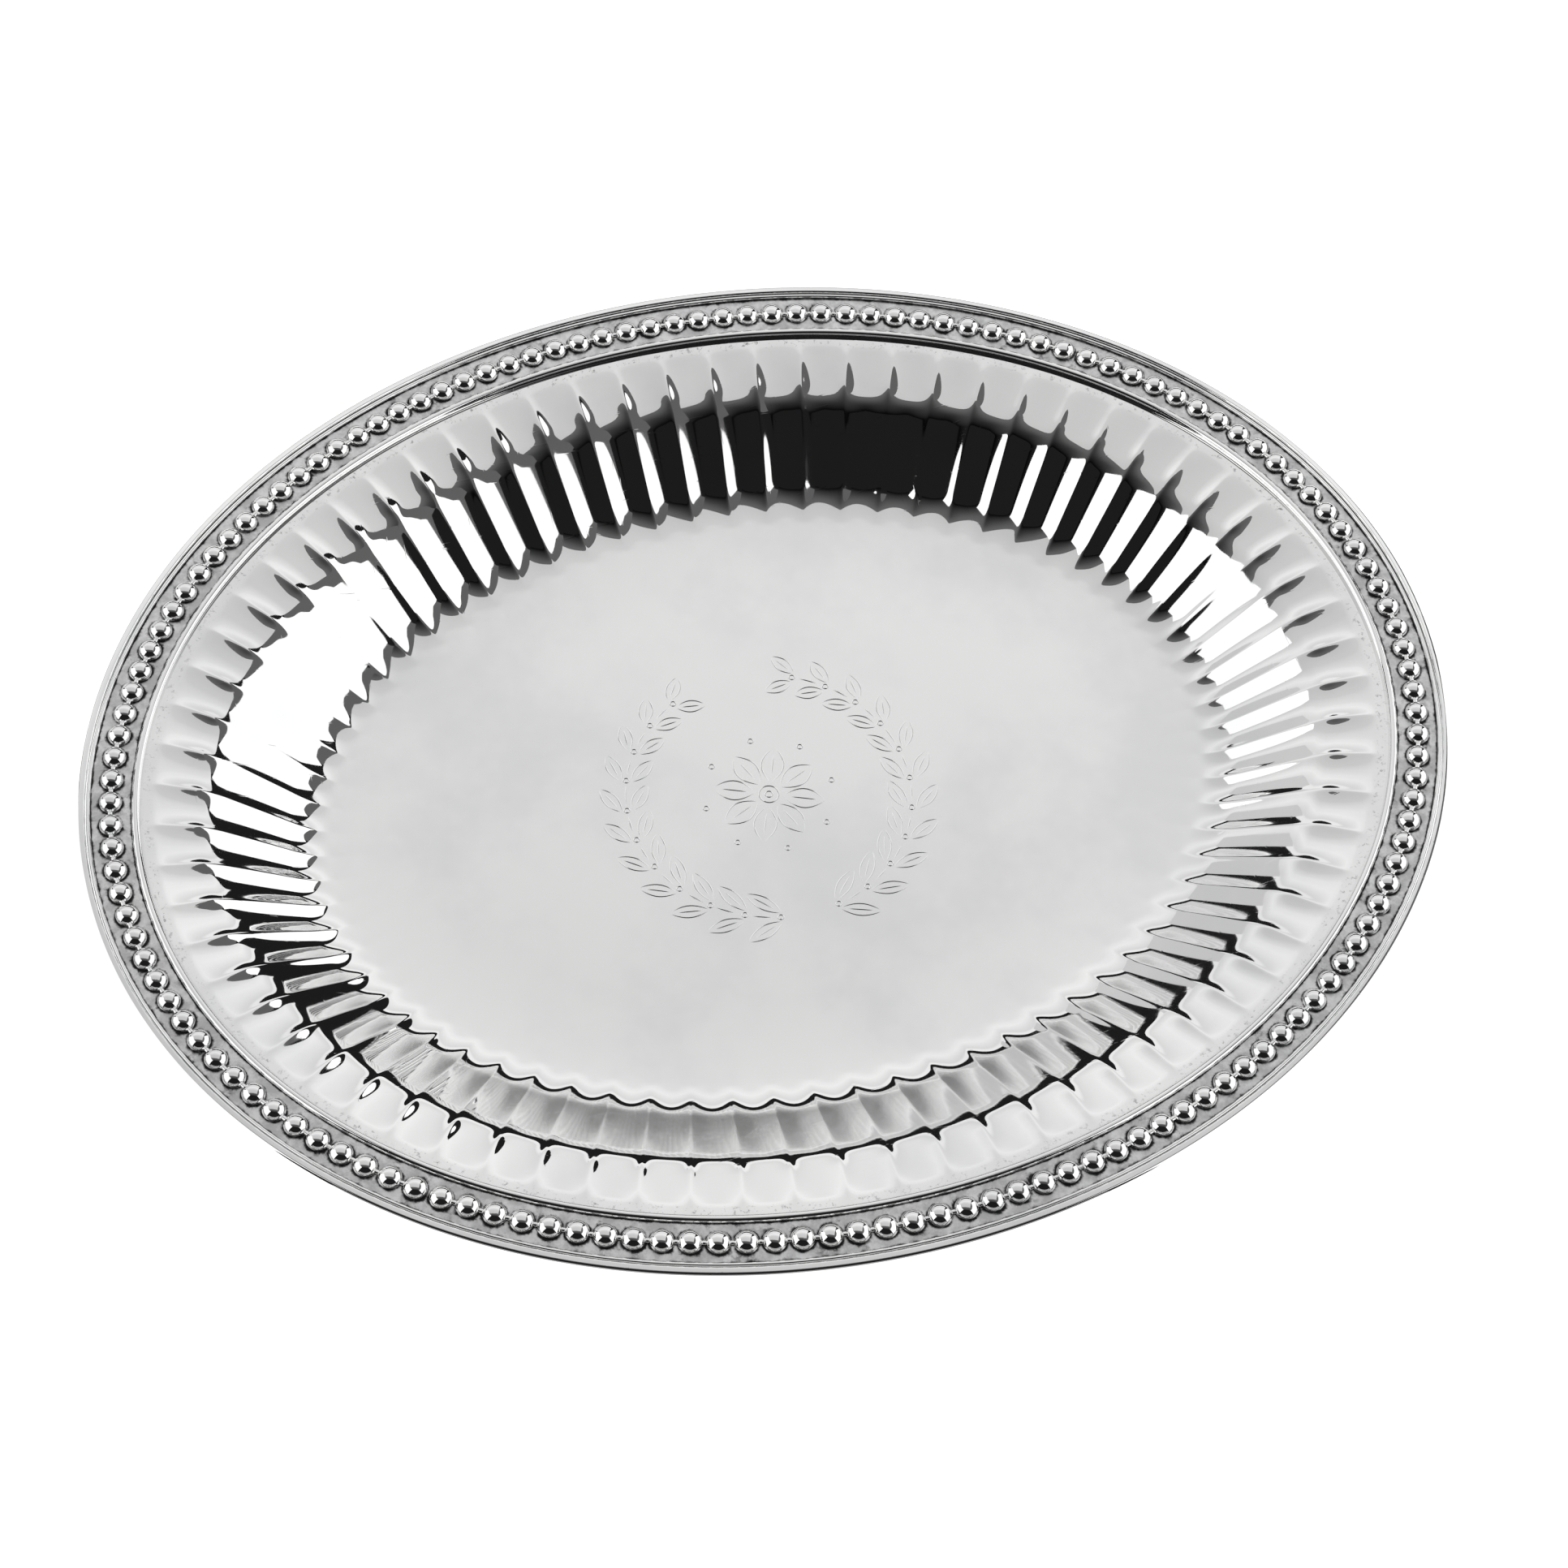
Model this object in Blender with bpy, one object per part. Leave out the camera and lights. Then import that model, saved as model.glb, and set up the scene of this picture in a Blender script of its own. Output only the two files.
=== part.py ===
"""Oval silver salver: a fluted sheet dish with a border of channel strip, beads, reeds and edge moulding.

The origin is the middle of the flat base's underside, +Z is up and +X lies along the oval's length.
"""

import math

import bmesh
import bpy

MM = 0.001

# Driving dimensions
OVERALL_LENGTH = 304.8 * MM
OVERALL_WIDTH = 254.0 * MM
BEAD_LINE_LENGTH = 290.4 * MM
BEAD_LINE_WIDTH = 238.2 * MM
SHEET = 1.0 * MM
WELL_DEPTH = 20.0 * MM  # from the bead line's level down to the inside of the base
BEAD_COUNT = 144
BEAD_RADIUS = 2.6 * MM
BEAD_RISE = 0.85  # height of a bead over its radius
FLUTE_COUNT = 72
FLUTE_DEPTH = 1.3 * MM
GAP = 0.3 * MM  # solder gap between neighbouring pieces

BEAD_LINE_HEIGHT = SHEET + WELL_DEPTH
A = BEAD_LINE_LENGTH / 2
B = BEAD_LINE_WIDTH / 2
STATIONS = 2 * FLUTE_COUNT

# Dish wall along a ridge between two flutes, in mm:
# (offset outwards from the bead line, height from its level)
WALL = [(-45.5, -20.0), (-41.5, -18.7), (-36.5, -15.0), (-29, -9.9), (-21, -5.4), (-14, -3.2), (-9.5, -1.7)]
# Plain flange that carries the border, under the same rule
FLANGE = [(-6.8, -1.25), (-4.2, -1.6), (4.9, -1.6)]

# Border heights from the bead line's level, in mm
BED_TOP = -0.5
BED_BOTTOM = -1.3
BED_INNER_SIDE = -4.15
BED_OUTER_SIDE = 4.0

# Border sections, in mm, each a closed outline of (offset, height)
INNER_REED = [(-6.3, -0.9), (-6.2, 0.1), (-5.4, 0.5), (-4.6, 0.1), (-4.5, -1.2)]
OUTER_REED = [(4.5, -1.25), (4.55, 0.0), (5.0, 0.35), (5.45, 0.0), (5.5, -1.25)]
EDGE_MOULDING = [(5.85, -2.6), (5.85, 0.3), (6.3, 0.75), (7.1, 0.45), (7.65, -0.35), (7.5, -1.6), (6.9, -2.6)]
EDGE_REACH = 7.65  # the moulding's outermost offset in EDGE_MOULDING


def clear_scene():
    for item in list(bpy.data.objects):
        bpy.data.objects.remove(item)


def silver(name, colour, roughness):
    """A metal material of one colour and roughness."""
    material = bpy.data.materials.new(name)
    material.use_nodes = True
    shader = material.node_tree.nodes["Principled BSDF"]
    shader.inputs["Base Color"].default_value = (*colour, 1.0)
    shader.inputs["Metallic"].default_value = 1.0
    shader.inputs["Roughness"].default_value = roughness
    return material


def arc_angles(steps=7200):
    """The bead line's length so far at each of many even steps of its angle, and the angle step."""
    step = 2 * math.pi / steps
    lengths = [0.0]
    for i in range(steps):
        middle = (i + 0.5) * step
        lengths.append(lengths[-1] + step * math.hypot(A * math.sin(middle), B * math.cos(middle)))
    return lengths, step


ARC_LENGTHS, ANGLE_STEP = arc_angles()
PERIMETER = ARC_LENGTHS[-1]


def angle_at(arc):
    """The ellipse angle at a fraction of the way round the bead line, starting from +X."""
    target = (arc % 1.0) * PERIMETER
    low, high = 0, len(ARC_LENGTHS) - 1
    while high - low > 1:
        middle = (low + high) // 2
        if ARC_LENGTHS[middle] <= target:
            low = middle
        else:
            high = middle
    part = (target - ARC_LENGTHS[low]) / (ARC_LENGTHS[high] - ARC_LENGTHS[low])
    return (low + part) * ANGLE_STEP


def outward_stretch(angle):
    """How far an outward offset is stretched, so that the outer edge meets the overall length and width."""
    at_ends = (OVERALL_LENGTH / 2 - A) / (EDGE_REACH * MM)
    at_sides = (OVERALL_WIDTH / 2 - B) / (EDGE_REACH * MM)
    return at_ends + (at_sides - at_ends) * math.sin(angle) ** 2


def border_point(arc, offset, height):
    """The place at a fraction round the bead line, offset outwards and up from it, both in mm."""
    angle = angle_at(arc)
    slope = math.hypot(B * math.cos(angle), A * math.sin(angle))
    outward = (B * math.cos(angle) / slope, A * math.sin(angle) / slope)
    reach = offset * MM * (outward_stretch(angle) if offset > 0 else 1.0)
    return (
        A * math.cos(angle) + reach * outward[0],
        B * math.sin(angle) + reach * outward[1],
        BEAD_LINE_HEIGHT + height * MM,
    )


def sweep(stations, section, closed):
    """A mesh of section(station) outlines joined one to the next, with end faces where it is open."""
    mesh = bmesh.new()
    rings = [[mesh.verts.new(border_point(arc, *point)) for point in section(arc)] for arc in stations]
    following = rings[1:] + rings[:1] if closed else rings[1:]
    for ring, after in zip(rings, following):
        for i in range(len(ring)):
            mesh.faces.new((ring[i - 1], ring[i], after[i], after[i - 1]))
    if not closed:
        mesh.faces.new(rings[0])
        mesh.faces.new(rings[-1])
    return mesh


def finish(name, mesh, material):
    """Turns a bmesh into a smooth-shaded object with its faces pointing out."""
    bmesh.ops.recalc_face_normals(mesh, faces=mesh.faces)
    data = bpy.data.meshes.new(name)
    mesh.to_mesh(data)
    mesh.free()
    data.shade_smooth()
    data.set_sharp_from_angle(angle=math.radians(40))
    data.materials.append(material)
    piece = bpy.data.objects.new(name, data)
    bpy.context.scene.collection.objects.link(piece)
    return piece


def shifted(line, distance):
    """A line of (offset, height) points moved sideways by a distance, downwards where it is positive."""
    moved = []
    for i, (x, z) in enumerate(line):
        before, after = line[max(i - 1, 0)], line[min(i + 1, len(line) - 1)]
        run, rise = after[0] - before[0], after[1] - before[1]
        length = math.hypot(run, rise)
        moved.append((x + distance[i] * rise / length, z - distance[i] * run / length))
    return moved


def dish_section(arc):
    """The sheet's outline: along its upper side from the base to the rim, and back along its lower side."""
    in_valley = round(arc * STATIONS) % 2 == 0
    ends = len(WALL) - 1
    # A flute is deepest halfway down the wall and runs out at the base and at the flange
    depths = [FLUTE_DEPTH / MM * math.sin(math.pi * i / ends) ** 0.7 * in_valley for i in range(ends)] + [0.0]
    upper = shifted(WALL, depths) + FLANGE
    lower = shifted(upper, [SHEET / MM] * len(upper))
    return upper + lower[::-1]


def make_dish(material):
    """The dish is one sheet: flat base, fluted wall and plain flange."""
    stations = [i / STATIONS for i in range(STATIONS)]
    mesh = bmesh.new()
    rings = [[mesh.verts.new(border_point(arc, *point)) for point in dish_section(arc)] for arc in stations]
    for ring, after in zip(rings, rings[1:] + rings[:1]):
        for i in range(1, len(ring)):
            mesh.faces.new((ring[i - 1], ring[i], after[i], after[i - 1]))
    mesh.faces.new([ring[0] for ring in rings])
    mesh.faces.new([ring[-1] for ring in rings])
    return finish("dish_body", mesh, material)


def make_ring(name, outline, material):
    """A border wire or moulding that runs all the way round."""
    stations = [i / STATIONS for i in range(0, STATIONS, 2)]
    return finish(name, sweep(stations, lambda arc: outline, closed=True), material)


def make_channel(side, middle, beads, material):
    """One length of the flat strip that the beads stand on."""
    half = beads / 2 / BEAD_COUNT - GAP / 2 / PERIMETER
    steps = beads // 2
    stations = [middle - half + 2 * half * i / steps for i in range(steps + 1)]
    inner, outer = BED_INNER_SIDE, BED_OUTER_SIDE
    outline = [(inner, BED_BOTTOM), (inner, BED_TOP), (outer, BED_TOP), (outer, BED_BOTTOM)]
    return finish("border_channel_" + side, sweep(stations, lambda arc: outline, closed=False), material)


def make_bead_wire(side, middle, beads, material):
    """One length of beaded wire: half-round beads joined by their necks."""
    base = BED_TOP + GAP / MM
    cuts = (-0.96, -0.43, 0.43, 0.96)  # where each bead has a ring of points along the wire, in bead radii
    stations = {}  # the wire's radius at each place along it, in mm
    for i in range(beads):
        centre = middle + (i - (beads - 1) / 2) / BEAD_COUNT
        for cut in cuts:
            radius = BEAD_RADIUS / MM * math.sqrt(1 - cut * cut)
            stations[centre + cut * BEAD_RADIUS / PERIMETER] = radius

    def half_round(arc):
        turns = [math.pi * i / 4 for i in range(5)]
        radius = stations[arc]
        return [(-radius * math.cos(turn), base + BEAD_RISE * radius * math.sin(turn)) for turn in turns]

    return finish("bead_wire_" + side, sweep(list(stations), half_round, closed=False), material)


def main():
    clear_scene()
    polished = silver("polished_silver", (0.83, 0.83, 0.82), 0.08)
    satin = silver("satin_silver", (0.50, 0.50, 0.50), 0.38)
    make_dish(polished)
    make_ring("inner_reed", INNER_REED, polished)
    make_ring("outer_reed", OUTER_REED, polished)
    make_ring("edge_moulding", EDGE_MOULDING, polished)
    # Two longer lengths of border along the sides and two shorter ones round the ends
    lengths = (("right", 0.0, 35), ("back", 0.25, 37), ("left", 0.5, 35), ("front", 0.75, 37))
    for side, middle, beads in lengths:
        make_channel(side, middle, beads, satin)
        make_bead_wire(side, middle, beads, polished)


main()
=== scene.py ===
"""Looks of the oval fluted silver salver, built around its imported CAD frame.

Border sections and the wall are given in mm as (offset outwards from the bead line, height from its level).
A share of the bead line is a fraction of the way round it, starting from +X.
"""

import math

import bmesh
import bpy
import numpy as np
from mathutils import Matrix, Vector
from mathutils.geometry import delaunay_2d_cdt


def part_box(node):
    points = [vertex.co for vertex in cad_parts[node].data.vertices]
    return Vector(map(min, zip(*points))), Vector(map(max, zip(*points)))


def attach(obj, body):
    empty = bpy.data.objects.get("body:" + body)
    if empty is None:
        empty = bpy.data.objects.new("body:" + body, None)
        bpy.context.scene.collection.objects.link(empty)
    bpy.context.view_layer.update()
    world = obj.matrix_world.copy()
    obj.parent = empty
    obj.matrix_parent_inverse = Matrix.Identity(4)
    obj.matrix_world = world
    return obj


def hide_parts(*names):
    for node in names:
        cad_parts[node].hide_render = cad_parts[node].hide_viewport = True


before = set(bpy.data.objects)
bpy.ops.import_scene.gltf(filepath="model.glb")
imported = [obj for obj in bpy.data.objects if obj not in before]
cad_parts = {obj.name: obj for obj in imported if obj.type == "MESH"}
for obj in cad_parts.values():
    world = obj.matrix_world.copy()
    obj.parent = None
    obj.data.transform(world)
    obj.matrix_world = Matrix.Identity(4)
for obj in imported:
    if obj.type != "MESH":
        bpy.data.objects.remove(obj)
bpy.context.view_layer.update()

MM = 0.001

# ---------------------------------------------------------------- sizes in mm, from the frame where it can be
MOULDING_TOP_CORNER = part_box("edge_moulding")[1]
BED_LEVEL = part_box("border_channel_front")[1].z
BED_TOP = -0.5
BEAD_LINE_HEIGHT = BED_LEVEL - BED_TOP * MM  # metres
EDGE_REACH = 7.65  # outermost offset in the border sections
REACH_AT_ENDS = 7.2  # from the bead line to the outer edge, at the two ends of the oval
REACH_AT_SIDES = 7.9
A = MOULDING_TOP_CORNER.x - REACH_AT_ENDS * MM  # half-axes of the bead line, in metres
B = MOULDING_TOP_CORNER.y - REACH_AT_SIDES * MM

SHEET = 1.0
WELL_FLOOR = -(BEAD_LINE_HEIGHT / MM - SHEET)
FLUTE_COUNT = 72

# Slope in degrees at offsets, from the flange inwards to the flat base: in a flute's trough and on a ridge
WALL_START = -1.2  # height where the slopes begin
TROUGH_SLOPES = [(-6.5, 5), (-8.6, 7), (-9.8, 17), (-19.8, 17), (-22.3, 33), (-24.2, 36.5), (-38.0, 36.5),
                 (-45.3, 5), (-50.0, 3), (-58.0, 1.4), (-68.0, 0)]
RIDGE_SLOPES = [(-6.5, 4), (-9.6, 4), (-12.0, 12), (-17.2, 14), (-19.6, 28), (-24.0, 35.5), (-37.0, 37.0),
                (-42.0, 28), (-47.0, 3.6), (-50.0, 3), (-58.0, 1.4), (-68.0, 0)]
RIDGE_SHARPNESS = [(-24.0, 1.8), (-19.0, 2.6)]  # the power that narrows the ridges, broader low on the wall
CREST_ROUNDING = 0.09  # share of half a flute
FLANGE = [(-6.5, WALL_START), (-4.4, -1.6), (4.9, -1.6)]

# Rings of vertices on the dish, from the rim to the base: (first offset, last offset, how many)
DISH_ROWS = [(4.9, -6.0, 5), (-6.5, -8.4, 5), (-8.6, -13.0, 20), (-13.5, -19.5, 10), (-19.9, -24.4, 20),
             (-25.0, -31.8, 12), (-32.2, -48.0, 44), (-49.0, -68.0, 10)]
# Shares of a flute, from a ridge to the middle, where the dish has a line of vertices
DISH_COLUMNS = [0.0, 0.012, 0.026, 0.045, 0.07, 0.105, 0.16, 0.235, 0.32, 0.41, 0.5]

GRIME_LINE = -7.6  # where grime collects beside the inner reed
GRIME_REACH = 1.6
HAZE_BAND = (42.0, 50.0)  # inside the bead line, where the base's haze sets in

# Border
BEAD_COUNT = 144
BEAD_RADIUS = 2.6
BEAD_RISE = 0.8  # height of a bead's dome over its radius
BEAD_SIDE = 0.2  # straight side under the dome
BEAD_CLEARANCE = 0.02  # between the bed and the beads
NECK_RADIUS = 0.55  # of the wire between two beads
BED_INNER_SIDE, BED_OUTER_SIDE = -4.45, 4.5
BED_BOTTOM = -1.58
TARNISH_AND_SHADE_AT_BEADS, TARNISH_AND_SHADE_AT_SIDES = 0.7, 0.5  # how far the tarnish and the painted shade reach from beads and from the bed's sides
INNER_REED = (-5.4, 1.8, 0.5)  # middle, width and top
OUTER_REED = (5.0, 0.95, 0.35)
REED_FOOT = -1.55
MOULDING = [(5.62, -2.6), (5.62, 0.35), (5.95, 0.74), (7.2, 0.54), (7.65, -0.1), (7.55, -1.6), (6.9, -2.6)]
MOULDING_ROUNDING = 0.3
# Lengths of the border: (side, share of the bead line at its middle, beads)
BORDER_LENGTHS = (("right", 0.0, 35), ("back", 0.25, 37), ("left", 0.5, 35), ("front", 0.75, 37))

# Engraving, measured from the middle of the base
GROOVE_HALF_WIDTH = 0.15
GROOVE_DEPTH = 0.09
MERGE_DISTANCE = 1e-5
SHORTEST_STROKE = 4  # points
WREATH_RADIUS = 32.0
WREATH_START, WREATH_STEP = -78, 14.2  # degrees round a side, of its first pair of leaves and between pairs
LEAF_PAIRS = 11
LEAF_PLACES = ((-0.55, 1.3), (0.6, -1.3))  # lean in radians and shift outwards, of each leaf in a pair
LEAF_LENGTH, LEAF_SHORTENING, LEAF_WIDTH = 8.6, 0.22, 2.6
LEAF_SPREAD = 0.22  # from a leaf's middle to each of its sides, at its ends
BERRY_RADIUS, BERRY_CLEARANCE = 0.62, 1.1
PETALS = 8
PETAL_START, PETAL_LENGTH, PETAL_WIDTH = 3.4, 9.0, 4.6
DOT_RING, DOT_RADIUS = 14.6, 0.6
EYE_RADIUS, PUPIL_RADIUS = 2.2, 0.8


# ---------------------------------------------------------------- the bead line and what is offset from it
def arc_table(steps=14400):
    """Ellipse angles, the share of the bead line reached at each, and the line's whole length in mm."""
    angles = np.linspace(0, 2 * math.pi, steps + 1)
    x, y = A * np.cos(angles), B * np.sin(angles)
    lengths = np.concatenate([[0.0], np.cumsum(np.hypot(np.diff(x), np.diff(y)))])
    return angles, lengths / lengths[-1], lengths[-1] / MM


ARC_ANGLES, ARC_SHARES, PERIMETER = arc_table()


def places(arcs, offsets, heights):
    """Points in metres at shares of the bead line, offset outwards and up in mm; the arrays broadcast."""
    arcs, offsets, heights = np.broadcast_arrays(arcs, offsets, heights)
    angles = np.interp(arcs % 1.0, ARC_SHARES, ARC_ANGLES)
    cos, sin = np.cos(angles), np.sin(angles)
    slope = np.hypot(B * cos, A * sin)
    stretch = REACH_AT_ENDS + (REACH_AT_SIDES - REACH_AT_ENDS) * sin**2
    reach = offsets * MM * np.where(offsets > 0, stretch / EDGE_REACH, 1.0)
    x = A * cos + reach * B * cos / slope
    y = B * sin + reach * A * sin / slope
    return np.stack([x, y, BEAD_LINE_HEIGHT + heights * MM], axis=-1)


# ---------------------------------------------------------------- meshes
def grid_faces(rows, columns, wrap_rows, wrap_columns, start=0):
    """Quads of a grid of vertices numbered row by row."""
    r = np.arange(rows if wrap_rows else rows - 1)
    c = np.arange(columns if wrap_columns else columns - 1)
    r, c = np.meshgrid(r, c, indexing="ij")
    r2, c2 = (r + 1) % rows, (c + 1) % columns
    quads = np.stack([r * columns + c, r2 * columns + c, r2 * columns + c2, r * columns + c2], axis=-1)
    return (quads.reshape(-1, 4) + start).tolist()


def length_faces(count, width):
    """Faces of a closed section of width points swept through count places, with its two ends."""
    ends = [list(range(width)), list(range((count - 1) * width, count * width))]
    return grid_faces(count, width, False, True) + ends


def add_values(data, key, numbers):
    """Gives a mesh a number at each vertex, for its material to read."""
    layer = data.attributes.new(key, "FLOAT", "POINT")
    layer.data.foreach_set("value", np.asarray(numbers, np.float32).ravel())


def add_object(name, data):
    """A new object in the scene."""
    made = bpy.data.objects.new(name, data)
    bpy.context.scene.collection.objects.link(made)
    return made


def add_piece(name, vertices, faces, material, replaced, sharp=35.0, values=None):
    """A smooth-shaded piece of the object that stands for CAD nodes and rides on the body."""
    data = bpy.data.meshes.new(name)
    data.from_pydata(np.asarray(vertices).reshape(-1, 3).tolist(), [], faces)
    solid = bmesh.new()
    solid.from_mesh(data)
    bmesh.ops.recalc_face_normals(solid, faces=solid.faces)
    solid.to_mesh(data)
    solid.free()
    for key, numbers in (values or {}).items():
        add_values(data, key, numbers)
    data.shade_smooth()
    data.set_sharp_from_angle(angle=math.radians(sharp))
    data.materials.append(material)
    piece = add_object(name, data)
    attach(piece, "root")
    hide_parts(*replaced)
    return piece


# ---------------------------------------------------------------- the dish's wall
def wall_table(slopes, steps=4000):
    """Heights at many offsets down a wall of the given slopes, scaled so that it ends on the well's floor."""
    offsets = np.linspace(slopes[0][0], slopes[-1][0], steps)
    falls = np.tan(np.radians(np.interp(-offsets, [-p[0] for p in slopes], [p[1] for p in slopes])))
    drop = np.concatenate([[0.0], np.cumsum((falls[1:] + falls[:-1]) / 2 * -np.diff(offsets))])
    return offsets[::-1], (WALL_START - drop * (WALL_START - WELL_FLOOR) / drop[-1])[::-1]


TROUGH, RIDGE = wall_table(TROUGH_SLOPES), wall_table(RIDGE_SLOPES)


def ridge_share(arcs):
    """0 along the middle of a flute and 1 along the ridge between two, with a narrow rounded crest."""
    from_ridge = np.abs((arcs * FLUTE_COUNT) % 1.0 - 0.5) * 2
    rounded_off = np.sqrt(from_ridge**2 + CREST_ROUNDING**2)
    return (1 - np.minimum(rounded_off, 1)) / (1 - CREST_ROUNDING)


def dish_heights(arcs, offsets):
    """Height of the dish's upper side, in mm from the bead line."""
    share = ridge_share(arcs) ** np.interp(offsets, *zip(*RIDGE_SHARPNESS))
    trough = np.interp(offsets, *TROUGH)
    wall = trough + (np.interp(offsets, *RIDGE) - trough) * share
    flange = np.interp(offsets, *zip(*FLANGE))
    return np.where(offsets >= FLANGE[0][0], flange, wall)


def flute_columns():
    """Shares of the bead line where the dish has a line of vertices, closer together on the crests."""
    half = np.array(DISH_COLUMNS)
    one = np.concatenate([half, 1.0 - half[-2:0:-1]])
    return np.concatenate([(k + 0.5 + one) / FLUTE_COUNT for k in range(FLUTE_COUNT)])


# ---------------------------------------------------------------- the engraving
def leaf(x, y, heading, length, width):
    """The two sides and the midrib of a pointed leaf growing from (x, y) towards heading."""
    t = np.linspace(0, 1, 12)
    side = width / 2 * np.sin(math.pi * t) ** 0.9 + LEAF_SPREAD
    rib = np.linspace(0.18, 0.8, 7)
    cos, sin = math.cos(heading), math.sin(heading)
    lines = [(t * length, side), (t * length, -side), (rib * length, 0 * rib)]
    return [np.stack([x + cos * a - sin * b, y + sin * a + cos * b], axis=-1) for a, b in lines]


def circle(x, y, radius, steps):
    """A closed stroke round (x, y)."""
    turns = np.linspace(0, 2 * math.pi, steps, endpoint=False)
    return np.stack([x + radius * np.cos(turns), y + radius * np.sin(turns)], axis=-1)


def wreath_half(side):
    """Open and closed strokes of half a wreath: pairs of leaves, a berry in each, and a stem between them."""
    strokes, berries = [], []
    for k in range(LEAF_PAIRS):
        around = math.radians(WREATH_START + WREATH_STEP * k)
        x, y = WREATH_RADIUS * math.cos(around), WREATH_RADIUS * math.sin(around)
        for lean, out in LEAF_PLACES:
            start = (x + out * math.cos(around), y + out * math.sin(around))
            lines = leaf(*start, around + math.pi / 2 + lean, LEAF_LENGTH - LEAF_SHORTENING * k, LEAF_WIDTH)
            strokes += [line * [side, 1] for line in lines]
        berries.append(circle(side * x, y, BERRY_RADIUS, 10))
    centres = [berry.mean(0) for berry in berries]
    ends = (WREATH_START - 6, WREATH_START + WREATH_STEP * (LEAF_PAIRS - 1) - 3)
    turns = np.radians(np.linspace(*ends, 60))
    runs = [[]]
    for point in WREATH_RADIUS * np.stack([side * np.cos(turns), np.sin(turns)], axis=-1):
        if min(np.hypot(*(point - centre)) for centre in centres) > BERRY_CLEARANCE:
            runs[-1].append(point)
        else:
            runs.append([])
    return strokes + [np.array(run) for run in runs], berries


def rosette():
    """Open and closed strokes of a small flower: petals, a dot between each two, and a ringed eye."""
    strokes, rings = [], []
    for k in range(PETALS):
        turn = 2 * math.pi * (k + 0.5) / PETALS
        start = (PETAL_START * math.cos(turn), PETAL_START * math.sin(turn))
        strokes += leaf(*start, turn, PETAL_LENGTH, PETAL_WIDTH)
        between = turn + math.pi / PETALS
        rings.append(circle(DOT_RING * math.cos(between), DOT_RING * math.sin(between), DOT_RADIUS, 10))
    return strokes, rings + [circle(0, 0, EYE_RADIUS, 28), circle(0, 0, PUPIL_RADIUS, 14)]


def engraved_lines():
    """Open and closed strokes, in mm, of a laurel wreath round a small rosette."""
    opened, closed = [], []
    for strokes, rings in (wreath_half(1), wreath_half(-1), rosette()):
        opened += [stroke for stroke in strokes if len(stroke) >= SHORTEST_STROKE]
        closed += rings
    return opened, closed


def groove_points():
    """Vertices (x, y, depth) in mm and constraint edges of every engraved groove."""
    opened, closed = engraved_lines()
    points, edges = [], []
    for line, is_closed in [(line, False) for line in opened] + [(line, True) for line in closed]:
        count = len(line)
        if is_closed:
            along = np.roll(line, -1, 0) - np.roll(line, 1, 0)
            widths = np.full(count, GROOVE_HALF_WIDTH)
        else:
            along = np.gradient(line, axis=0)
            widths = GROOVE_HALF_WIDTH * np.sin(math.pi * np.linspace(0, 1, count)) ** 0.4
            widths[[0, -1]] = 0
        across = np.stack([-along[:, 1], along[:, 0]], axis=-1) / np.hypot(*along.T)[:, None]
        chains = []
        for shift in (-1, 0, 1):  # one side of the groove, its bottom and its other side
            chain = []
            for i in range(count):
                if chains and widths[i] == 0:  # all three meet in a point at the ends of an open stroke
                    chain.append(chains[0][i])
                    continue
                deep = 0.0 if shift else GROOVE_DEPTH * widths[i] / GROOVE_HALF_WIDTH
                chain.append(len(points))
                points.append((*(line[i] + across[i] * widths[i] * shift), deep))
            chains.append(chain)
            edges += list(zip(chain, chain[1:]))
            if is_closed:
                edges.append((chain[-1], chain[0]))
    return points, edges


def base_faces(ring, first_new):
    """The engraved flat of the base: new vertices inside the ring of wall vertices, and all its triangles."""
    grooves, groove_edges = groove_points()
    count = len(ring)
    flat = [Vector((p[0] / MM, p[1] / MM)) for p in ring] + [Vector(p[:2]) for p in grooves]
    edges = [(i, (i + 1) % count) for i in range(count)] + [(i + count, j + count) for i, j in groove_edges]
    spots, _, triangles, origins, _, _ = delaunay_2d_cdt(flat, edges, [], 0, MERGE_DISTANCE)
    index, added = [], []
    for spot, origin in zip(spots, origins):
        if origin and origin[0] < count:
            index.append(origin[0])
            continue
        deep = grooves[origin[0] - count][2] if origin else 0.0
        index.append(first_new + len(added))
        added.append((spot.x * MM, spot.y * MM, (SHEET - deep) * MM))
    return index, added, triangles


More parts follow.
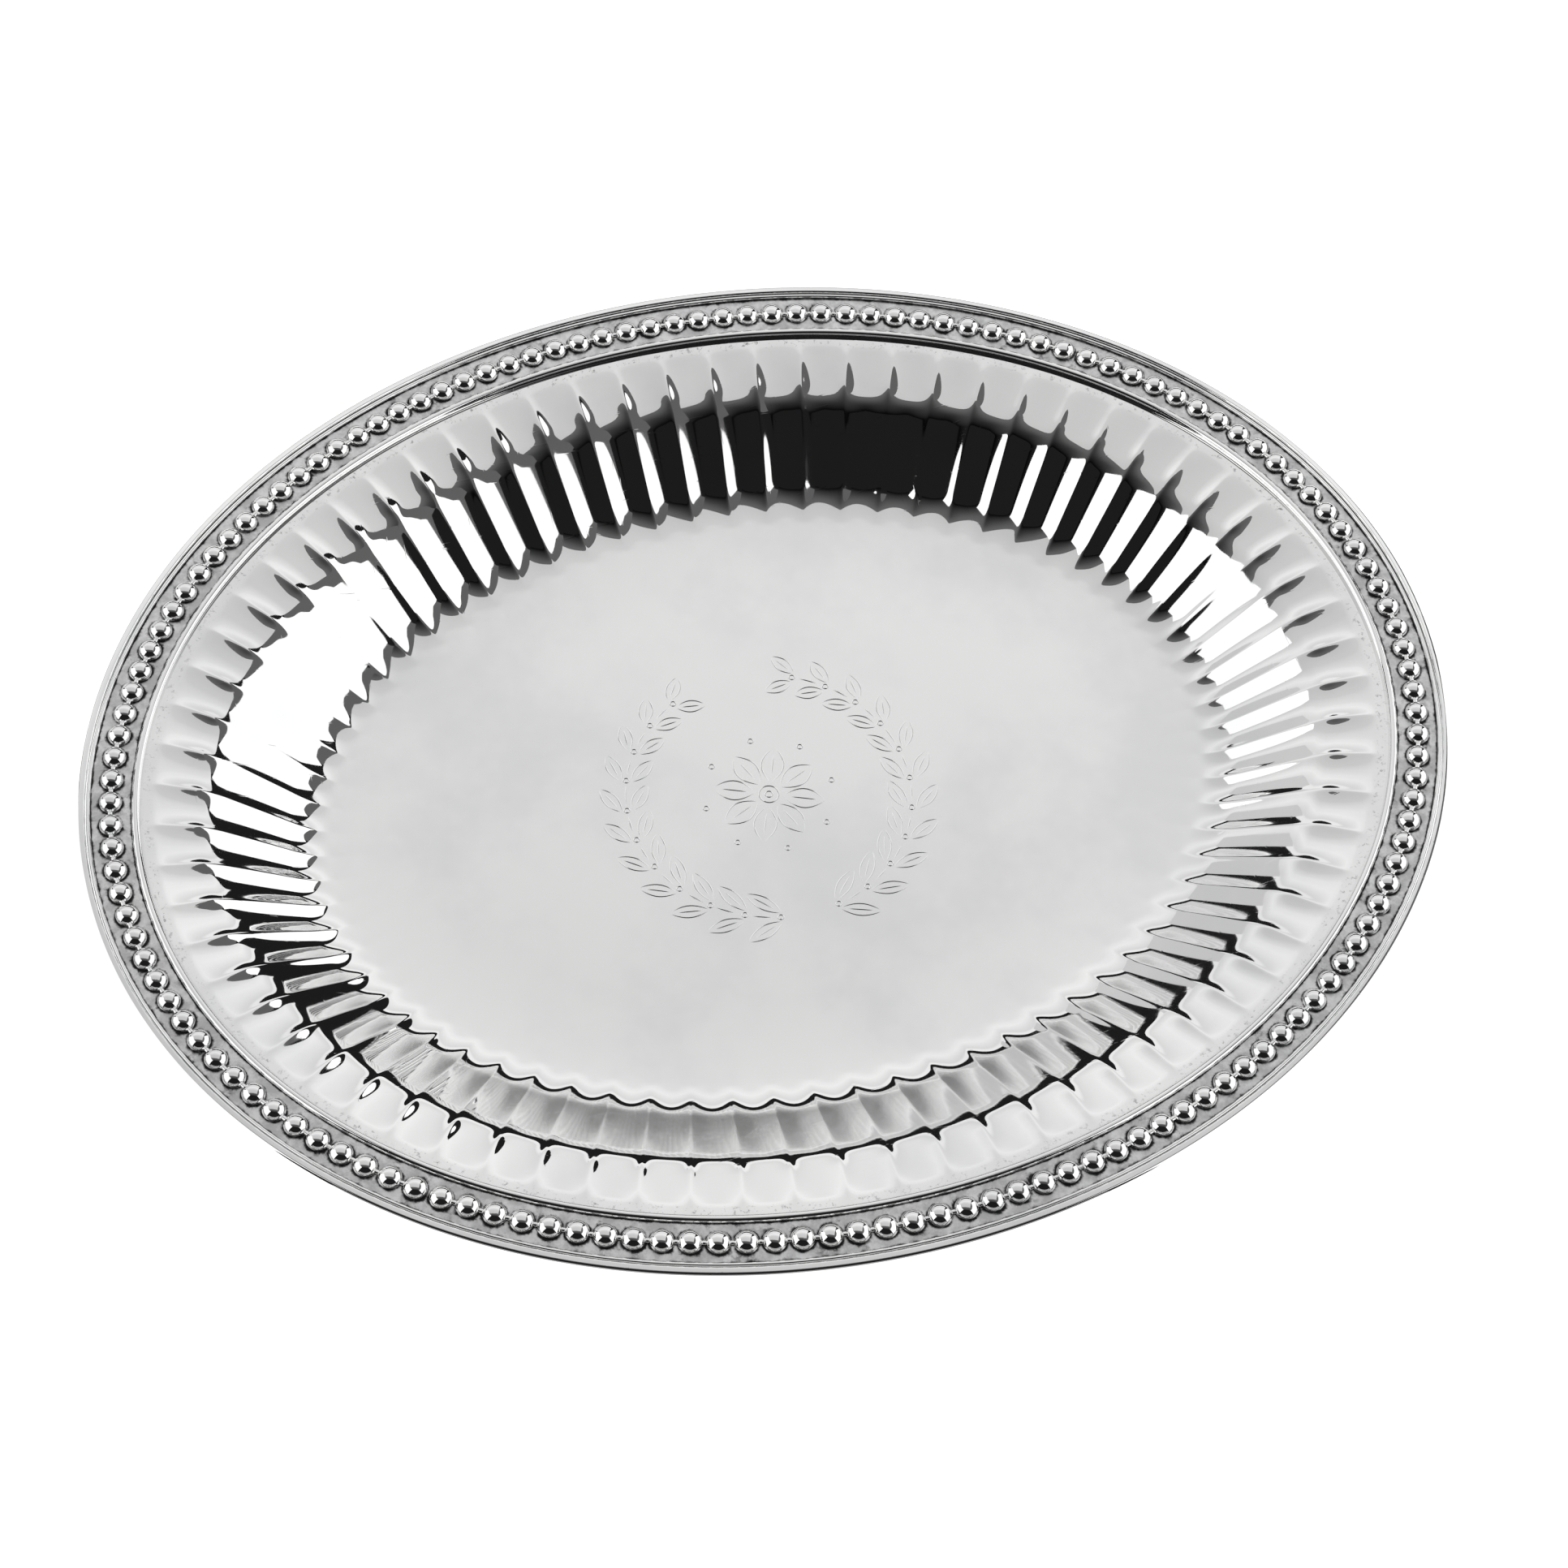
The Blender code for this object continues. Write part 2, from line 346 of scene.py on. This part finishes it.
# ---------------------------------------------------------------- the dish
def make_dish(material):
    """One silver sheet: engraved flat base, fluted wall and the flange under the border."""
    arcs, offsets = flute_columns(), np.concatenate([np.linspace(*part) for part in DISH_ROWS])
    upper = places(arcs[None], offsets[:, None], dish_heights(arcs[None], offsets[:, None]))
    upper[-1, :, 2] = SHEET * MM
    along = np.roll(upper, -1, 1) - np.roll(upper, 1, 1)
    inward = np.gradient(upper, axis=0)
    normals = np.cross(inward, along)
    normals /= np.linalg.norm(normals, axis=-1)[..., None]
    normals *= np.sign(normals[..., 2:])
    lower = upper - normals * SHEET * MM
    lower[-1, :, 2] = 0.0

    rows, columns = upper.shape[:2]
    count = rows * columns  # vertices on each side of the sheet
    base_ring = count - columns
    rim = [(i, (i + 1) % columns, count + (i + 1) % columns, count + i) for i in range(columns)]
    underside = [count + base_ring + i for i in range(columns)]
    faces = grid_faces(rows, columns, False, True) + grid_faces(rows, columns, False, True, count)
    faces += [*rim, underside]
    index, added, triangles = base_faces(upper[-1], 2 * count)
    place = [base_ring + i if i < columns else i for i in index]
    faces += [[place[i] for i in triangle] for triangle in triangles]
    vertices = np.concatenate([upper.reshape(-1, 3), lower.reshape(-1, 3), np.array(added)])

    grime = np.repeat(np.interp(np.abs(offsets - GRIME_LINE), [0.0, GRIME_REACH], [1.0, 0.0]), columns)
    worn = np.repeat(np.interp(-offsets, HAZE_BAND, [0.0, 1.0]), columns)
    depths = [(SHEET - z / MM) / GROOVE_DEPTH for _, _, z in added]
    values = {
        "grime": np.concatenate([grime, np.zeros(count + len(added))]),
        "worn": np.concatenate([worn, np.zeros(count), np.ones(len(added))]),
        "engraved": np.concatenate([np.zeros(2 * count), depths]),
    }
    return add_piece("fluted_dish", vertices, faces, material, ["dish_body"], 25.0, values)


# ---------------------------------------------------------------- the border
def rounded(outline, radius, steps=4):
    """A closed (offset, height) outline with each corner turned into a small arc-like curve."""
    outline = np.array(outline, float)
    made = []
    for i, corner in enumerate(outline):
        before, after = outline[i - 1], outline[(i + 1) % len(outline)]
        to_before, to_after = np.hypot(*(before - corner)), np.hypot(*(after - corner))
        reach = min(radius, 0.48 * to_before, 0.48 * to_after)  # less than half a side, so curves stay apart
        start = corner + (before - corner) / to_before * reach
        end = corner + (after - corner) / to_after * reach
        for t in np.linspace(0, 1, steps + 1):
            made.append((1 - t) ** 2 * start + 2 * t * (1 - t) * corner + t * t * end)
    return np.array(made)


def half_round(middle, width, top, steps=12):
    """Section of a half-round wire."""
    turns = np.linspace(0, math.pi, steps + 1)
    arc = [(middle - width / 2 * math.cos(t), top - width / 2 * (1 - math.sin(t))) for t in turns]
    return np.array([(middle - width / 2, REED_FOOT)] + arc + [(middle + width / 2, REED_FOOT)])


def make_ring(name, section, material, node, stations=720):
    """A wire or moulding that runs all the way round."""
    arcs = np.arange(stations) / stations
    points = places(arcs[:, None], section[None, :, 0], section[None, :, 1])
    faces = grid_faces(stations, len(section), True, True)
    return add_piece(name, points, faces, material, [node], 50.0)


def make_bed(side, middle, beads, material, across_count=25, stations_per_bead=10):
    """One length of the flat satin strip, with how close each spot is to a bead or a side of the bed, where
    tarnish and painted shade darken it.
    """
    half = beads / 2 / BEAD_COUNT
    stations = np.linspace(middle - half, middle + half, beads * stations_per_bead + 1)
    across = np.linspace(BED_INNER_SIDE, BED_OUTER_SIDE, across_count)
    top = np.stack([across, np.full(across_count, BED_TOP)], -1)
    section = np.concatenate([top, [(BED_OUTER_SIDE, BED_BOTTOM), (BED_INNER_SIDE, BED_BOTTOM)]])
    points = places(stations[:, None], section[None, :, 0], section[None, :, 1])
    along = ((stations * BEAD_COUNT + 0.5) % 1.0 - 0.5) * PERIMETER / BEAD_COUNT
    from_bead = np.hypot(along[:, None], section[None, :, 0]) - BEAD_RADIUS
    from_side = BED_OUTER_SIDE - np.abs(section[None, :, 0])
    # closeness to beads and the bed's sides, where the strip is darkened with tarnish and painted shade
    tarnish_and_shade_nearness = np.clip(1 - np.minimum(from_bead / TARNISH_AND_SHADE_AT_BEADS, from_side / TARNISH_AND_SHADE_AT_SIDES), 0, 1)
    faces = length_faces(len(stations), len(section))
    replaced = ["border_channel_" + side]
    return add_piece("satin_bed_" + side, points, faces, material, replaced, 35.0,
                     {"tarnish_and_shade_nearness": tarnish_and_shade_nearness})


def make_beads(side, middle, beads, material, turn_count=17, cut_count=19):
    """One length of beaded wire: round beads on a thinner neck, standing on the bed."""
    turns = np.linspace(0, math.pi, turn_count)
    cuts = -np.cos(np.linspace(0.0, math.pi, cut_count))[1:-1]  # places along a bead, in its radii
    centres = middle + (np.arange(beads) - (beads - 1) / 2) / BEAD_COUNT
    arcs = (centres[:, None] + cuts * BEAD_RADIUS / PERIMETER).ravel()
    radii = np.tile(np.maximum(BEAD_RADIUS * np.sqrt(1 - cuts**2), NECK_RADIUS), beads)[:, None]
    offsets = np.concatenate([[-1.0], -np.cos(turns), [1.0]])[None] * radii
    domes = BEAD_SIDE + np.sin(turns)[None] * radii * BEAD_RISE
    heights = BED_TOP + BEAD_CLEARANCE + np.pad(domes, ((0, 0), (1, 1)))
    points = places(arcs[:, None], offsets, heights)
    faces = length_faces(*points.shape[:2])
    replaced = ["bead_wire_" + side]
    return add_piece("bead_row_" + side, points, faces, material, replaced, 60.0)


# ---------------------------------------------------------------- materials
def grey(level):
    """A colour of one level."""
    return (level, level, level, 1)


def nodes_of(name):
    """A new material with its node tree and surface shader, ready to be filled."""
    material = bpy.data.materials.new(name)
    material.use_nodes = True
    tree = material.node_tree
    return material, tree, tree.nodes["Principled BSDF"]


def add_node(tree, kind, settings=(), inputs=()):
    """A new node, with each input set to a value or linked to another node's output."""
    node = tree.nodes.new(kind)
    for key, value in dict(settings).items():
        setattr(node, key, value)
    for key, value in dict(inputs).items():
        if isinstance(value, bpy.types.NodeSocket):
            tree.links.new(value, node.inputs[key])
        else:
            node.inputs[key].default_value = value
    return node


def noise(tree, place, scale, detail, rough, stretch=None, turn=0.0):
    """A noise value, optionally stretched into streaks that run along a turned axis."""
    if stretch:
        lying = {"Vector": place, "Scale": stretch, "Rotation": (0, 0, turn)}
        place = add_node(tree, "ShaderNodeMapping", inputs=lying).outputs["Vector"]
    shape = {"Vector": place, "Scale": scale, "Detail": detail, "Roughness": rough}
    return add_node(tree, "ShaderNodeTexNoise", inputs=shape).outputs["Fac"]


def ramp(tree, value, low, high, start=0.0, end=1.0):
    """value from low to high, smoothly turned into start to end."""
    made = add_node(tree, "ShaderNodeMapRange", {"interpolation_type": "SMOOTHSTEP"},
                    {"Value": value, "From Min": low, "From Max": high, "To Min": start, "To Max": end})
    return made.outputs["Result"]


def math_node(tree, operation, a, b):
    """What an operation makes of two values, each a number or another node's output."""
    return add_node(tree, "ShaderNodeMath", {"operation": operation}, {0: a, 1: b}).outputs[0]


def mixed(tree, share, first, second):
    """The first colour where share is 0, turning into the second where it is 1."""
    made = add_node(tree, "ShaderNodeMix", {"data_type": "RGBA"}, {"Factor": share, 6: first, 7: second})
    return made.outputs[2]


def mesh_value(tree, name):
    """The number of that name that add_values gave the mesh."""
    return add_node(tree, "ShaderNodeAttribute", {"attribute_name": name}).outputs["Fac"]


def polished_silver():
    """Hand-polished silver: near-mirror, hazy where worn, with soft smudges, wiping scratches and specks."""
    material, tree, shader = nodes_of("polished_silver_surface")
    place = add_node(tree, "ShaderNodeTexCoord").outputs["Object"]
    smudges = ramp(tree, noise(tree, place, 16.0, 6.0, 0.6), 0.42, 0.68)
    fine = ramp(tree, noise(tree, place, 160.0, 4.0, 0.6), 0.55, 0.8)
    lengthways = ramp(tree, noise(tree, place, 90.0, 2.0, 0.5, (1.0, 14.0, 1.0), 0.5), 0.66, 0.72)
    crossways = ramp(tree, noise(tree, place, 70.0, 2.0, 0.5, (16.0, 1.0, 1.0), 0.3), 0.67, 0.73)
    scratches = math_node(tree, "MAXIMUM", lengthways, crossways)
    specks = math_node(tree, "MULTIPLY", mesh_value(tree, "grime"),
                       ramp(tree, noise(tree, place, 900.0, 3.0, 0.7), 0.54, 0.72))
    grooves = math_node(tree, "MULTIPLY", mesh_value(tree, "engraved"), 0.75)
    marks = math_node(tree, "MAXIMUM", specks, grooves)
    tone = mixed(tree, marks, (0.95, 0.95, 0.945, 1), grey(0.25))
    dulled = mixed(tree, math_node(tree, "MULTIPLY", smudges, 0.6), tone, (0.80, 0.81, 0.81, 1))
    surface_wear = math_node(tree, "ADD", math_node(tree, "MULTIPLY", smudges, 0.035),
                             math_node(tree, "MULTIPLY", fine, 0.03))
    haze = ramp(tree, mesh_value(tree, "worn"), 0.0, 1.0, 0.03, 0.17)
    relief = {"Strength": 0.12, "Distance": 0.00002, "Height": scratches}
    bump = add_node(tree, "ShaderNodeBump", inputs=relief)
    tree.links.new(dulled, shader.inputs["Base Color"])
    tree.links.new(math_node(tree, "ADD", surface_wear, haze), shader.inputs["Roughness"])
    tree.links.new(bump.outputs["Normal"], shader.inputs["Normal"])
    shader.inputs["Metallic"].default_value = 1.0
    return material


def satin_silver():
    """Silver left matt between the beads, blotchy, and near-black next to the beads and the bed's sides:
    tarnish plus painted shade.
    """
    material, tree, shader = nodes_of("satin_silver_surface")
    place = add_node(tree, "ShaderNodeTexCoord").outputs["Object"]
    blotches = math_node(tree, "SUBTRACT", noise(tree, place, 420.0, 4.0, 0.65), 0.5)
    ragged = math_node(tree, "ADD", mesh_value(tree, "tarnish_and_shade_nearness"), math_node(tree, "MULTIPLY", blotches, 2.4))
    tarnish_and_painted_shade = ramp(tree, ragged, 0.1, 0.85)
    mottle = ramp(tree, noise(tree, place, 260.0, 5.0, 0.7), 0.35, 0.68)
    # near-black where tarnish and painted shade lie next to the beads and the bed's sides
    colour = mixed(tree, tarnish_and_painted_shade, mixed(tree, mottle, grey(0.52), grey(0.80)), grey(0.035))
    grain = noise(tree, place, 1800.0, 3.0, 0.6)
    bump = add_node(tree, "ShaderNodeBump", inputs={"Strength": 0.5, "Distance": 0.00004, "Height": grain})
    tree.links.new(colour, shader.inputs["Base Color"])
    tree.links.new(ramp(tree, tarnish_and_painted_shade, 0.0, 1.0, 0.34, 0.6), shader.inputs["Roughness"])
    tree.links.new(bump.outputs["Normal"], shader.inputs["Normal"])
    shader.inputs["Metallic"].default_value = 1.0
    return material


# ---------------------------------------------------------------- camera, floor and light (metres, degrees)
CAMERA_BACK = Vector((-0.1963, -0.5040, 0.8411)).normalized()  # from the salver towards the camera
CAMERA_ROLL = 5.30
CAMERA_DISTANCE = 0.9454
CAMERA_TARGET = Vector((-0.00064, -0.01024, BEAD_LINE_HEIGHT))
CAMERA_LENS, CAMERA_SENSOR = 99.56, 36.0  # mm
FAR = Vector((-CAMERA_BACK.x, -CAMERA_BACK.y, 0)).normalized()
RIGHT = FAR.cross(Vector((0, 0, 1)))

# Brightness of the arched card: (elevation from the far side over the top, at its left, at its right)
ARCH_LEVELS = [(92, 0.54, 0.60), (85, 0.55, 0.61), (66, 0.59, 0.66),
               (62, 0.62, 0.72), (57, 0.67, 0.78), (52, 0.73, 0.83), (50, 0.78, 0.87), (42, 0.85, 0.92),
               (30, 0.74, 0.80), (23, 0.69, 0.75), (19, 0.85, 0.90), (14, 0.90, 0.90)]
ARCH_HEIGHT = 2.5
ARCH_LEFT, ARCH_RIGHT = -3.8, 1.2  # towards the right of the view
EDGE_LEVELS = [(-1.3, 0.0), (-0.8, 0.05), (-0.35, 0.11), (-0.09, 0.13)]  # a dim fading card before the arch
WING_LEVEL = 0.12  # a dim card to the right of the arch
WING_RIGHT = 2.9
WING_REACH = (-1.05, 1.7)  # its edges before and beyond the salver
# Upright cards: (azimuth, top elevation) along each, its lower elevation and its brightness
UPRIGHT_CARDS = [("softbox_left", [(49, 57), (60, 56), (72, 54), (88, 49), (113, 41)], 1, 1.15),
                 ("softbox_right", [(-56, 51), (-80, 49), (-110, 47), (-141, 43)], 1, 1.15),
                 ("card_low", [(124, 24), (138, 22), (150, 18)], 4, 0.62),
                 ("card_behind", [(40, 15), (15, 14), (-15, 14), (-50, 15)], 1, 0.4)]
UPRIGHT_DISTANCE = 1.6
WORLD_DARK, WORLD_PALE = 0.012, 0.97
FLOOR_HALF, FLOOR_LEVEL, FLOOR_GLOW = 4.0, -0.0001, 0.78


def make_camera():
    """The photo's view, a little rolled."""
    across = Vector((0, 0, 1)).cross(CAMERA_BACK).normalized()
    upward = CAMERA_BACK.cross(across)
    cos, sin = math.cos(math.radians(CAMERA_ROLL)), math.sin(math.radians(CAMERA_ROLL))
    turned = Matrix((cos * across + sin * upward, cos * upward - sin * across, CAMERA_BACK)).transposed()
    camera = add_object("camera", bpy.data.cameras.new("camera"))
    place = CAMERA_TARGET + CAMERA_BACK * CAMERA_DISTANCE
    camera.matrix_world = Matrix.Translation(place) @ turned.to_4x4()
    camera.data.lens = CAMERA_LENS
    camera.data.sensor_width = CAMERA_SENSOR
    camera.data.clip_start = 0.01
    bpy.context.scene.camera = camera


def card_glow():
    """A material that only shines, as brightly as the card's own levels say."""
    material, tree, shader = nodes_of("card_glow")
    tree.nodes.remove(shader)
    shining = {"Color": grey(1), "Strength": mesh_value(tree, "level")}
    emission = add_node(tree, "ShaderNodeEmission", inputs=shining)
    tree.links.new(emission.outputs[0], tree.nodes["Material Output"].inputs["Surface"])
    return material


def make_card(name, rows, material):
    """A glowing card that the camera doesn't see, through rows of (place, level) pairs."""
    data = bpy.data.meshes.new(name)
    vertices = [place for row in rows for place, _ in row]
    data.from_pydata(vertices, [], grid_faces(len(rows), len(rows[0]), False, False))
    add_values(data, "level", [level for row in rows for _, level in row])
    data.materials.append(material)
    card = add_object(name, data)
    card.visible_camera = False
    card.visible_shadow = False


def upright_place(azimuth, elevation):
    """A place on an upright card, seen from the salver: azimuth goes clockwise from the camera's side."""
    turn = math.radians(azimuth)
    outward = -FAR * math.cos(turn) - RIGHT * math.sin(turn)
    height = UPRIGHT_DISTANCE * math.tan(math.radians(elevation))
    return outward * UPRIGHT_DISTANCE + Vector((0, 0, height))


def make_light():
    """The studio that the silver reflects: a grey arch from overhead to beyond, and cards all round."""
    material = card_glow()
    above = Vector((0, 0, ARCH_HEIGHT))
    arch = []
    for elevation, left_level, right_level in ARCH_LEVELS:
        turn = math.radians(elevation)
        middle = FAR * ARCH_HEIGHT * math.cos(turn) + above * math.sin(turn)
        arch.append([(middle + RIGHT * ARCH_LEFT, left_level), (middle + RIGHT * ARCH_RIGHT, right_level)])
    make_card("card_arch", arch, material)
    edge = [[(above + FAR * reach + RIGHT * r, level) for r in (ARCH_LEFT, ARCH_RIGHT)]
            for reach, level in EDGE_LEVELS]
    make_card("card_edge", edge, material)
    wing = [[(above + FAR * reach + RIGHT * r, WING_LEVEL) for r in (ARCH_RIGHT, WING_RIGHT)]
            for reach in WING_REACH]
    make_card("card_wing", wing, material)
    for name, tops, low, level in UPRIGHT_CARDS:
        rows = [[(upright_place(az, low), level), (upright_place(az, top), level)] for az, top in tops]
        make_card(name, rows, material)


def make_world():
    """Pale where the camera looks at it, dark where silver reflects it."""
    world = bpy.data.worlds.new("studio")
    world.use_nodes = True
    tree = world.node_tree
    dark = tree.nodes["Background"]
    dark.inputs["Color"].default_value = grey(WORLD_DARK)
    pale = add_node(tree, "ShaderNodeBackground", inputs={"Color": grey(WORLD_PALE)})
    seen = add_node(tree, "ShaderNodeLightPath").outputs["Is Camera Ray"]
    mix = add_node(tree, "ShaderNodeMixShader", inputs={0: seen, 1: dark.outputs[0], 2: pale.outputs[0]})
    tree.links.new(mix.outputs[0], tree.nodes["World Output"].inputs["Surface"])
    bpy.context.scene.world = world


def make_floor():
    """A plain pale lit table."""
    material, _, shader = nodes_of("pale_table")
    shader.inputs["Base Color"].default_value = grey(0.9)
    shader.inputs["Roughness"].default_value = 0.9
    shader.inputs["Specular IOR Level"].default_value = 0.0
    shader.inputs["Emission Color"].default_value = grey(1)
    shader.inputs["Emission Strength"].default_value = FLOOR_GLOW
    corners = [(x * FLOOR_HALF, y * FLOOR_HALF, FLOOR_LEVEL) for x, y in ((-1, -1), (1, -1), (1, 1), (-1, 1))]
    data = bpy.data.meshes.new("floor")
    data.from_pydata(corners, [], [(0, 1, 2, 3)])
    data.materials.append(material)
    add_object("floor", data)


# ---------------------------------------------------------------- the scene
polished, satin = polished_silver(), satin_silver()
make_dish(polished)
make_ring("inner_reed_wire", half_round(*INNER_REED), polished, "inner_reed")
make_ring("outer_reed_wire", half_round(*OUTER_REED), polished, "outer_reed")
make_ring("rim_moulding", rounded(MOULDING, MOULDING_ROUNDING), polished, "edge_moulding")
for side, middle, beads in BORDER_LENGTHS:
    make_bed(side, middle, beads, satin)
    make_beads(side, middle, beads, polished)
make_camera()
make_light()
make_world()
make_floor()
bpy.context.scene.view_settings.view_transform = "Standard"
